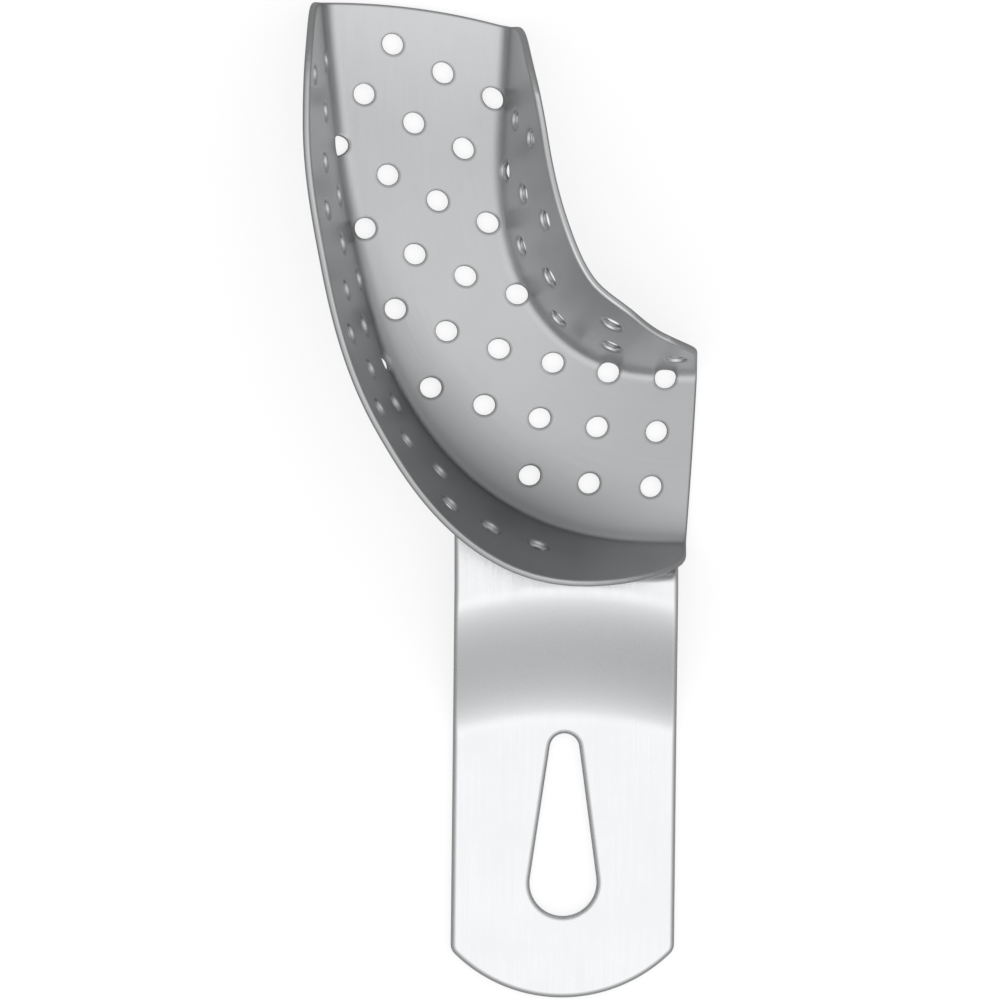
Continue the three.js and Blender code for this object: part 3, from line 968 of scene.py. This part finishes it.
        # A surface's direction goes with the areas of the small parallelogram that the ways span.
        areas = [np.cross(ways[(axis + 1) % 3], ways[(axis + 2) % 3]) for axis in range(3)]
        turned = sum(area * facing[:, axis][:, None] for axis, area in enumerate(areas))
        turned /= np.linalg.norm(turned, axis=1)[:, None]
        formed = middle * MILLIMETRE + shift
        mesh.vertices.foreach_set("co", formed.astype(np.float32).ravel())
        mesh.attributes.new(FLAT_PLACE, "FLOAT_VECTOR", "POINT").data.foreach_set(
            "vector", flat.astype(np.float32).ravel()
        )
        mesh.attributes.new(CUT_EDGE, "FLOAT", "POINT").data.foreach_set(
            "value", (1 - np.abs(facing[:, 2])).astype(np.float32)
        )
        mesh.update()
        select_only(self.piece)
        bpy.ops.object.shade_smooth()
        mesh.normals_split_custom_set_from_vertices(turned.tolist())
        return self.piece

    @staticmethod
    def _plate(name: str, outline: np.ndarray, low: float, high: float) -> bpy.types.Object:
        """Makes a flat plate from a filled circle whose points are moved to an outline.

        Args:
            name: The plate's name.
            outline: Its outline, anticlockwise.
            low: Height of its lower face.
            high: Height of its upper face.

        Returns:
            The plate.
        """
        deselect()
        bpy.ops.mesh.primitive_circle_add(vertices=len(outline), fill_type="NGON")
        plate = bpy.context.active_object
        plate.name = plate.data.name = name
        heights = np.full((len(outline), 1), high)
        plate.data.vertices.foreach_set("co", np.hstack([outline, heights]).ravel())
        bpy.ops.object.mode_set(mode="EDIT")
        bpy.ops.mesh.select_all(action="SELECT")
        bpy.ops.mesh.extrude_region_move(TRANSFORM_OT_translate={"value": (0, 0, low - high)})
        bpy.ops.mesh.select_all(action="SELECT")
        bpy.ops.mesh.normals_make_consistent(inside=False)
        bpy.ops.object.mode_set(mode="OBJECT")
        return plate


# ---- Finishes ----


class Number:
    """A shader socket that adds Math nodes when it is reckoned with."""

    def __init__(self, shader: "Shader", socket: bpy.types.NodeSocket) -> None:
        """Keeps the socket and the shader that it belongs to."""
        self.shader = shader
        self.socket = socket

    def _math(self, operation: str, first: object, second: object) -> "Number":
        """Adds a Math node for two operands."""
        return self.shader.number(
            "ShaderNodeMath", {"operation": operation}, {0: first, 1: second}
        )

    def __add__(self, other: object) -> "Number":
        """self + other."""
        return self._math("ADD", self, other)

    __radd__ = __add__

    def __sub__(self, other: object) -> "Number":
        """self - other."""
        return self._math("SUBTRACT", self, other)

    def __rsub__(self, other: object) -> "Number":
        """other - self."""
        return self._math("SUBTRACT", other, self)

    def __mul__(self, other: object) -> "Number":
        """self * other."""
        return self._math("MULTIPLY", self, other)

    __rmul__ = __mul__


class Shader:
    """A material's node tree, with one method that makes any node."""

    def __init__(self, tree: bpy.types.NodeTree) -> None:
        """Empties the tree and keeps it."""
        self.tree = tree
        tree.nodes.clear()

    def node(
        self, kind: str, settings: dict[str, object] | None = None, inputs: dict | None = None
    ) -> bpy.types.Node:
        """Adds a node.

        Args:
            kind: The node's type.
            settings: Its settings. "stops" gives a ramp's positions and colours.
            inputs: Values, sockets or numbers for its input sockets, by name or index.

        Returns:
            The node.
        """
        node = self.tree.nodes.new(kind)
        for name, value in (settings or {}).items():
            if name == "stops":
                elements = node.color_ramp.elements
                while len(elements) < len(value):
                    elements.new(0.5)
                for element, (position, colour) in zip(elements, value):
                    element.position = position
                    element.color = colour
            else:
                setattr(node, name, value)
        for name, value in (inputs or {}).items():
            source = value.socket if isinstance(value, Number) else value
            if isinstance(source, bpy.types.NodeSocket):
                self.tree.links.new(source, node.inputs[name])
            else:
                node.inputs[name].default_value = source
        return node

    def number(
        self, kind: str, settings: dict[str, object] | None, inputs: dict, output: int = 0
    ) -> Number:
        """Adds a node and takes one of its outputs as a number."""
        return Number(self, self.node(kind, settings, inputs).outputs[output])

    def blend(self, share: Number, first: object, second: object) -> bpy.types.NodeSocket:
        """Mixes two colours.

        Args:
            share: How much of the second colour there is.
            first: The first colour, or its socket.
            second: The second colour, or its socket.

        Returns:
            The mixed colour's socket.
        """
        settings = {"data_type": "RGBA", "clamp_factor": True}
        return self.node("ShaderNodeMix", settings, {0: share, 6: first, 7: second}).outputs[2]


def grey(level: float, warmth: float = 0.0) -> tuple[float, float, float, float]:
    """A steel grey in linear light.

    Args:
        level: How light it is.
        warmth: How much redder it is than neutral, as a share. Below zero is bluer.

    Returns:
        The colour with its alpha.
    """
    return (level * (1 + warmth), level, level * (1 - warmth), 1.0)


@dataclass(frozen=True)
class SteelFinish:
    """How a stainless steel surface is finished. Lengths are in millimetres."""

    name: str
    level: float
    roughness: float
    clouding: float
    cloud_size: float
    streaks: float
    streak_size: tuple[float, float]
    grain_height: float
    grain_size: float
    edge_level: float
    edge_roughness: float
    warmth: float = -0.012
    place: Place = Place.BLANK
    # whether the colour is scaled by the stored painted light and shade
    paints_light_and_shade: bool = False
    fine_share: float = 0.2
    tone_shares: tuple[float, float, float] = (0.6, 0.25, 0.15)
    tone_roughness: float = 0.25
    streak_height: float = 0.6
    edge_cover: float = 0.8
    heat_cover: float = 0.55
    heat_colour: tuple[float, float, float, float] = (0.36, 0.3, 0.23, 1.0)
    heat_roughness: float = 0.12

    def material(self) -> bpy.types.Material:
        """Makes the material.

        Returns:
            A brushed and tumbled steel whose tone, roughness and grain vary over the surface, with painted
            light and shade scaling its colour where the finish asks for it.
        """
        made = bpy.data.materials.new(self.name)
        made.use_nodes = True
        shader = Shader(made.node_tree)
        place = self._place(shader)
        cloud = self._noise(shader, place, (self.cloud_size,) * 3, detail=4)
        fine_cloud = self._noise(shader, place, (self.cloud_size * self.fine_share,) * 3, detail=3)
        along, across = self.streak_size
        streak = self._noise(shader, place, (along, across, 1.0), detail=5)
        grain = self._noise(shader, place, (self.grain_size,) * 3, detail=2)
        edge = shader.number("ShaderNodeAttribute", {"attribute_name": CUT_EDGE}, {}, output=2)
        heat = shader.number("ShaderNodeAttribute", {"attribute_name": WELD_HEAT}, {}, output=2)
        cloud_share, fine_share, streak_share = self.tone_shares
        tone = cloud_share * cloud + fine_share * fine_cloud + streak_share * streak
        low, high = self.level * (1 - self.clouding), self.level * (1 + self.clouding)
        colour = shader.blend(tone, grey(low, self.warmth), grey(high, self.warmth))
        # Painted light and shade: the stored scale lightens or darkens the colour across the trough.
        if self.paints_light_and_shade:
            polish = shader.node("ShaderNodeAttribute", {"attribute_name": PAINTED_LIGHT_AND_SHADE}).outputs[2]
            colour = shader.node(
                "ShaderNodeVectorMath", {"operation": "SCALE"}, {0: colour, "Scale": polish}
            ).outputs[0]
        colour = shader.blend(edge * self.edge_cover, colour, grey(self.edge_level, self.warmth))
        colour = shader.blend(heat * self.heat_cover, colour, self.heat_colour)
        spread = (tone - 0.5) * self.tone_roughness + (streak - 0.5) * self.streaks
        wear = edge * (self.edge_roughness - self.roughness) + heat * self.heat_roughness
        rough = spread + wear + self.roughness
        relief = {
            "Strength": 1.0,
            "Distance": self.grain_height * MILLIMETRE,
            "Height": grain + self.streak_height * streak,
        }
        bump = shader.node("ShaderNodeBump", None, relief)
        steel = shader.node(
            "ShaderNodeBsdfPrincipled",
            None,
            {
                "Base Color": colour,
                "Metallic": 1.0,
                "Roughness": rough,
                "Normal": bump.outputs[0],
            },
        )
        shader.node("ShaderNodeOutputMaterial", None, {"Surface": steel.outputs[0]})
        return made

    def _place(self, shader: Shader) -> bpy.types.NodeSocket:
        """The place that patterns read, in millimetres."""
        if self.place is Place.BLANK:
            return shader.node("ShaderNodeAttribute", {"attribute_name": FLAT_PLACE}).outputs[1]
        spot = shader.node("ShaderNodeTexCoord").outputs["Object"]
        scale = shader.node(
            "ShaderNodeVectorMath", {"operation": "SCALE"}, {0: spot, "Scale": 1 / MILLIMETRE}
        )
        return scale.outputs[0]

    @staticmethod
    def _noise(
        shader: Shader, place: bpy.types.NodeSocket, sizes: tuple[float, float, float], detail: int
    ) -> Number:
        """Noise with features of the given sizes along the three axes."""
        stretch = {0: place, 1: tuple(1 / size for size in sizes)}
        spot = shader.node("ShaderNodeVectorMath", {"operation": "MULTIPLY"}, stretch).outputs[0]
        return shader.number(
            "ShaderNodeTexNoise", None, {"Vector": spot, "Scale": 1.0, "Detail": float(detail)}
        )


PAN_FINISH = SteelFinish(
    name="satin pan steel",
    level=0.58,
    roughness=0.36,
    clouding=0.09,
    cloud_size=4.0,
    streaks=0.08,
    streak_size=(6.0, 0.25),
    grain_height=0.0012,
    grain_size=0.12,
    edge_level=0.72,
    edge_roughness=0.24,
    # the pan's colour carries painted light and shade
    paints_light_and_shade=True,
)
HANDLE_FINISH = SteelFinish(
    name="polished handle steel",
    level=0.95,
    roughness=0.29,
    clouding=0.025,
    cloud_size=6.0,
    streaks=0.1,
    streak_size=(0.22, 9.0),
    grain_height=0.0008,
    grain_size=0.12,
    edge_level=0.8,
    edge_roughness=0.2,
)
WELD_FINISH = SteelFinish(
    name="fused weld steel",
    level=0.46,
    roughness=0.5,
    clouding=0.2,
    cloud_size=0.8,
    streaks=0.1,
    streak_size=(0.4, 0.4),
    grain_height=0.01,
    grain_size=0.2,
    edge_level=0.46,
    edge_roughness=0.5,
    place=Place.SOLID,
)


# ---- Sub-assemblies ----


@dataclass
class Pan:
    """The perforated trough."""

    shape: PanShape = field(default_factory=PanShape)
    handle: StripShape = field(default_factory=StripShape)
    edge_radius: float = 0.27
    edge_segments: int = 5
    hole_sides: int = 32
    hole_mouth: HoleMouth = HoleMouth()
    outline_step: float = 0.6
    corner_steps: int = 14
    score_step: float = 0.55
    bend_step: float = 0.34
    bend_zone: tuple[float, float] = (2.0, 10.4)
    floor_step: float = 1.6
    wall_step: float = 0.8
    reach_stations: int = 50
    # Painted light and shade: scales of the pan's colour on the floor and on each wall from the rear to
    # the front, and how far the floor's scale fades into the wall's.
    floor_light_and_shade: tuple[float, ...] = (1.24, 1.06, 1.08, 1.06, 0.95, 0.88)
    wall_light_and_shade: dict[Side, tuple[float, ...]] = field(
        default_factory=lambda: {
            Side.OUTER: (0.94, 1.22, 0.92, 0.62, 0.56, 1.0),
            Side.INNER: (1.2, 1.22, 1.6, 1.62, 1.64, 1.58),
        }
    )
    light_and_shade_blend: dict[Side, tuple[float, ...]] = field(
        default_factory=lambda: {
            Side.OUTER: (1.2, 1.5, 3.0, 7.0, 8.0, 8.0),
            Side.INNER: (1.0, 1.0, 1.0, 1.0, 1.0, 1.0),
        }
    )

    def build(self, shift: np.ndarray) -> bpy.types.Object:
        """Cuts, punches, rounds and presses the pan.

        Args:
            shift: From the arch's frame to the CAD model's, in metres.

        Returns:
            The pan.
        """
        blank = Blank("pressed_pan", self.shape.sheet)
        blank.cut(self.shape.outline(self.outline_step, self.corner_steps))
        blank.round_edges(self.edge_radius, self.edge_segments)
        holes = self.shape.holes(self.handle)
        blank.punch_round(holes, self.shape.hole_radius, self.hole_sides, self.hole_mouth)
        log.info("pressed_pan: %d holes punched", len(holes))
        length = self.shape.arch.length
        blank.score(0, np.arange(self.score_step, length, self.score_step))
        blank.score(1, self._across_scores())
        piece = blank.form(self.shape, shift)
        # Paints light and shade into the trough's colour.
        self._store_light_and_shade(piece)
        return piece

    def _store_light_and_shade(self, piece: bpy.types.Object) -> None:
        """Stores painted light and shade on the trough's face as a scale of its colour: lighter at the
        rear and on the inner wall, darker towards the front, the outer front wall and its crease. The
        underside is left as it is.
        """
        mesh = piece.data
        flat = np.zeros(len(mesh.vertices) * 3, np.float32)
        mesh.attributes[FLAT_PLACE].data.foreach_get("vector", flat)
        along, across, depth = flat.reshape(-1, 3).T.astype(float)
        outer = across < 0
        past_foot = np.abs(across) - self.shape.size(self.shape.floors, along, outer)
        floor = station_size(self.floor_light_and_shade, along / self.shape.arch.length)
        wall = self.shape.size(self.wall_light_and_shade, along, outer)
        blend = self.shape.size(self.light_and_shade_blend, along, outer)
        share = np.clip(past_foot / blend + 1, 0, 1)
        value = floor + (wall - floor) * share * share * (3 - 2 * share)
        mesh.attributes.new(PAINTED_LIGHT_AND_SHADE, "FLOAT", "POINT").data.foreach_set(
            "value", np.where(depth < -self.shape.sheet / 2, 1.0, value).astype(np.float32)
        )

    def _across_scores(self) -> np.ndarray:
        """Where the blank is divided along its length: closely at the bends, widely on the floor."""
        start, end = self.bend_zone
        stations = np.linspace(0, self.shape.arch.length, self.reach_stations)
        reach = max(self.shape.rim_reach(stations, side).max() for side in Side)
        half = np.concatenate(
            [
                np.arange(self.floor_step, start, self.floor_step),
                np.arange(start, end, self.bend_step),
                np.arange(end, reach, self.wall_step),
            ]
        )
        return np.concatenate([-half[::-1], [0.0], half])

    def dress(self, piece: bpy.types.Object) -> None:
        """Gives the pan its finish."""
        piece.data.materials.append(PAN_FINISH.material())


@dataclass
class Handle:
    """The strip handle with its eye."""

    shape: StripShape = field(default_factory=StripShape)
    edge_radius: float = 0.5
    edge_segments: int = 6
    corner_steps: int = 6
    end_steps: int = 48
    eye_steps: int = 24
    bend_step: float = 0.3
    width_step: float = 0.6

    def build(self, shift: np.ndarray) -> bpy.types.Object:
        """Cuts, rounds and bends the handle.

        Args:
            shift: From the arch's frame to the CAD model's, in metres.

        Returns:
            The handle.
        """
        blank = Blank("bent_handle", self.shape.sheet)
        blank.cut(self.shape.outline(self.corner_steps, self.end_steps))
        blank.punch([self.shape.eye(self.eye_steps)])
        blank.round_edges(self.edge_radius, self.edge_segments)
        blank.score(1, np.arange(self.shape.flat_y, self.shape.top_y, self.bend_step))
        half = self.shape.width / 2
        blank.score(0, self.shape.middle + np.arange(-half + self.width_step, half, self.width_step))
        piece = blank.form(self.shape, shift)
        self._mark_welds(piece)
        return piece

    def _mark_welds(self, piece: bpy.types.Object) -> None:
        """Stores how far the welds' heat has tinted the outer face of the tab."""
        mesh = piece.data
        flat = np.zeros(len(mesh.vertices) * 3, np.float32)
        mesh.attributes[FLAT_PLACE].data.foreach_get("vector", flat)
        flat = flat.reshape(-1, 3)
        gaps = np.linalg.norm(flat[:, None, :2] - self.shape.weld_spots()[None], axis=2).min(1)
        heat = np.exp(-((gaps / self.shape.weld_radius) ** 2)) * (flat[:, 2] < -self.shape.sheet / 2)
        mesh.attributes.new(WELD_HEAT, "FLOAT", "POINT").data.foreach_set(
            "value", heat.astype(np.float32)
        )

    def dress(self, piece: bpy.types.Object) -> None:
        """Gives the handle its finish."""
        piece.data.materials.append(HANDLE_FINISH.material())


@dataclass
class Nuggets:
    """The fused metal of the spot welds, which keeps its CAD shape."""

    count: int

    def dress(self, nodes: dict[str, bpy.types.Object]) -> list[bpy.types.Object]:
        """Gives the weld nuggets their finish.

        Args:
            nodes: The CAD nodes by name.

        Returns:
            The nuggets.
        """
        made = WELD_FINISH.material()
        nuggets = [nodes[f"weld_nugget_{i + 1}"] for i in range(self.count)]
        for nugget in nuggets:
            nugget.data.materials.clear()
            nugget.data.materials.append(made)
        return nuggets


# ---- Studio ----


@dataclass
class Studio:
    """A pale floor, soft light from overhead and a camera that looks straight down."""

    frame_side: float = 0.0909
    camera_height: float = 3.0
    sensor: float = 36.0
    floor_side: float = 6.0
    floor_drop: float = 0.0001
    sky_way: tuple[float, float, float] = (0.12, -0.16, 0.98)
    sky_levels: tuple[tuple[float, float], ...] = (
        (0.0, 0.3),
        (0.2, 0.31),
        (0.4, 0.4),
        (0.64, 0.55),
        (0.87, 0.77),
        (0.96, 0.88),
        (1.0, 0.92),
    )
    box_side: float = 0.6
    box_place: tuple[float, float, float] = (0.1, -0.16, 0.8)
    box_power: float = 0.16
    floor_level: float = 0.45
    floor_roughness: float = 0.9
    floor_glow: float = 0.74
    backdrop_level: float = 0.97
    near_clip: float = 0.1
    far_clip: float = 20.0

    def build(self) -> None:
        """Makes the floor, the light and the camera."""
        self._floor()
        self._sky()
        self._softbox()
        self._camera()
        bpy.context.scene.view_settings.view_transform = "Standard"

    def _floor(self) -> None:
        """Makes the floor, which shows white and lights the tray as a pale grey."""
        deselect()
        bpy.ops.mesh.primitive_plane_add(size=self.floor_side, location=(0, 0, -self.floor_drop))
        floor = bpy.context.active_object
        floor.name = "floor"
        made = bpy.data.materials.new("pale floor")
        made.use_nodes = True
        shader = Shader(made.node_tree)
        path = shader.node("ShaderNodeLightPath")
        seen = Number(shader, path.outputs["Is Camera Ray"])
        paint = shader.node(
            "ShaderNodeBsdfPrincipled",
            None,
            {
                "Base Color": grey(self.floor_level),
                "Roughness": self.floor_roughness,
                "Emission Color": grey(1.0),
                "Emission Strength": self.floor_glow * seen,
            },
        )
        shader.node("ShaderNodeOutputMaterial", None, {"Surface": paint.outputs[0]})
        floor.data.materials.append(made)

    def _sky(self) -> None:
        """Makes the room: light overhead and dimmer towards the horizon."""
        world = bpy.data.worlds.new("studio")
        bpy.context.scene.world = world
        world.use_nodes = True
        shader = Shader(world.node_tree)
        way = shader.node("ShaderNodeTexCoord").outputs["Generated"]
        tilt = shader.node("ShaderNodeVectorMath", {"operation": "DOT_PRODUCT"}, {0: way, 1: self.sky_way})
        height = Number(shader, tilt.outputs[1])
        stops = [(height_share, grey(level)) for height_share, level in self.sky_levels]
        ramp = shader.node("ShaderNodeValToRGB", {"stops": stops}, {0: height}).outputs[0]
        path = shader.node("ShaderNodeLightPath").outputs["Is Camera Ray"]
        colour = shader.blend(Number(shader, path), ramp, grey(self.backdrop_level))
        back = shader.node("ShaderNodeBackground", None, {"Color": colour, "Strength": 1.0})
        shader.node("ShaderNodeOutputWorld", None, {"Surface": back.outputs[0]})

    def _softbox(self) -> None:
        """Hangs a large soft light overhead."""
        lamp = bpy.data.lights.new("softbox", "AREA")
        lamp.shape = "SQUARE"
        lamp.size = self.box_side
        lamp.energy = self.box_power
        box = bpy.data.objects.new("softbox", lamp)
        box.location = self.box_place
        box.visible_camera = False
        bpy.context.scene.collection.objects.link(box)

    def _camera(self) -> None:
        """Sets up the camera over the middle of the tray."""
        lens = bpy.data.cameras.new("camera")
        lens.sensor_width = self.sensor
        lens.lens = self.sensor * self.camera_height / self.frame_side
        lens.clip_start = self.near_clip
        lens.clip_end = self.far_clip
        camera = bpy.data.objects.new("camera", lens)
        camera.location = (0.0, 0.0, self.camera_height)
        bpy.context.scene.collection.objects.link(camera)
        bpy.context.scene.camera = camera


def cad_shift(pan: Pan) -> np.ndarray:
    """Finds where the CAD model keeps the arch's frame.

    Args:
        pan: The pan.

    Returns:
        The shift from the arch's frame to the CAD model's, in metres.
    """
    outline = pan.shape.outline(pan.outline_step, pan.corner_steps)
    faces = [
        pan.shape.place(np.column_stack([outline, np.full(len(outline), depth)]))
        for depth in (0.0, -pan.shape.sheet)
    ]
    points = np.concatenate(faces) * MILLIMETRE
    low, high = (np.array(corner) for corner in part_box("tray_pan"))
    return np.array([low[0] - points[:, 0].min(), high[1] - points[:, 1].max(), 0.0])


def main() -> None:
    """Builds the tray's pieces in order, then the studio."""
    logging.basicConfig(level=logging.INFO, format="%(name)s: %(message)s")
    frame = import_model()
    pan_shape = PanShape()
    strip_shape = StripShape(pan=pan_shape)
    pan = Pan(shape=pan_shape, handle=strip_shape)
    shift = cad_shift(pan)
    log.info("shift %s mm", (shift / MILLIMETRE).round(3))

    pan_piece = pan.build(shift)
    pan.dress(pan_piece)
    handle = Handle(shape=strip_shape)
    handle_piece = handle.build(shift)
    handle.dress(handle_piece)
    for piece, node, slot in (
        (pan_piece, "tray_pan", Slot.PAN),
        (handle_piece, "handle", Slot.HANDLE),
    ):
        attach(piece, "root")
        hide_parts(node)
        log.info("%s: %d faces for node %s", piece.name, len(piece.data.polygons), node)
    for nugget in Nuggets(strip_shape.weld_count).dress(frame["nodes"]):
        log.info("%s: dressed", nugget.name)

    Studio().build()


if __name__ == "__main__":
    main()
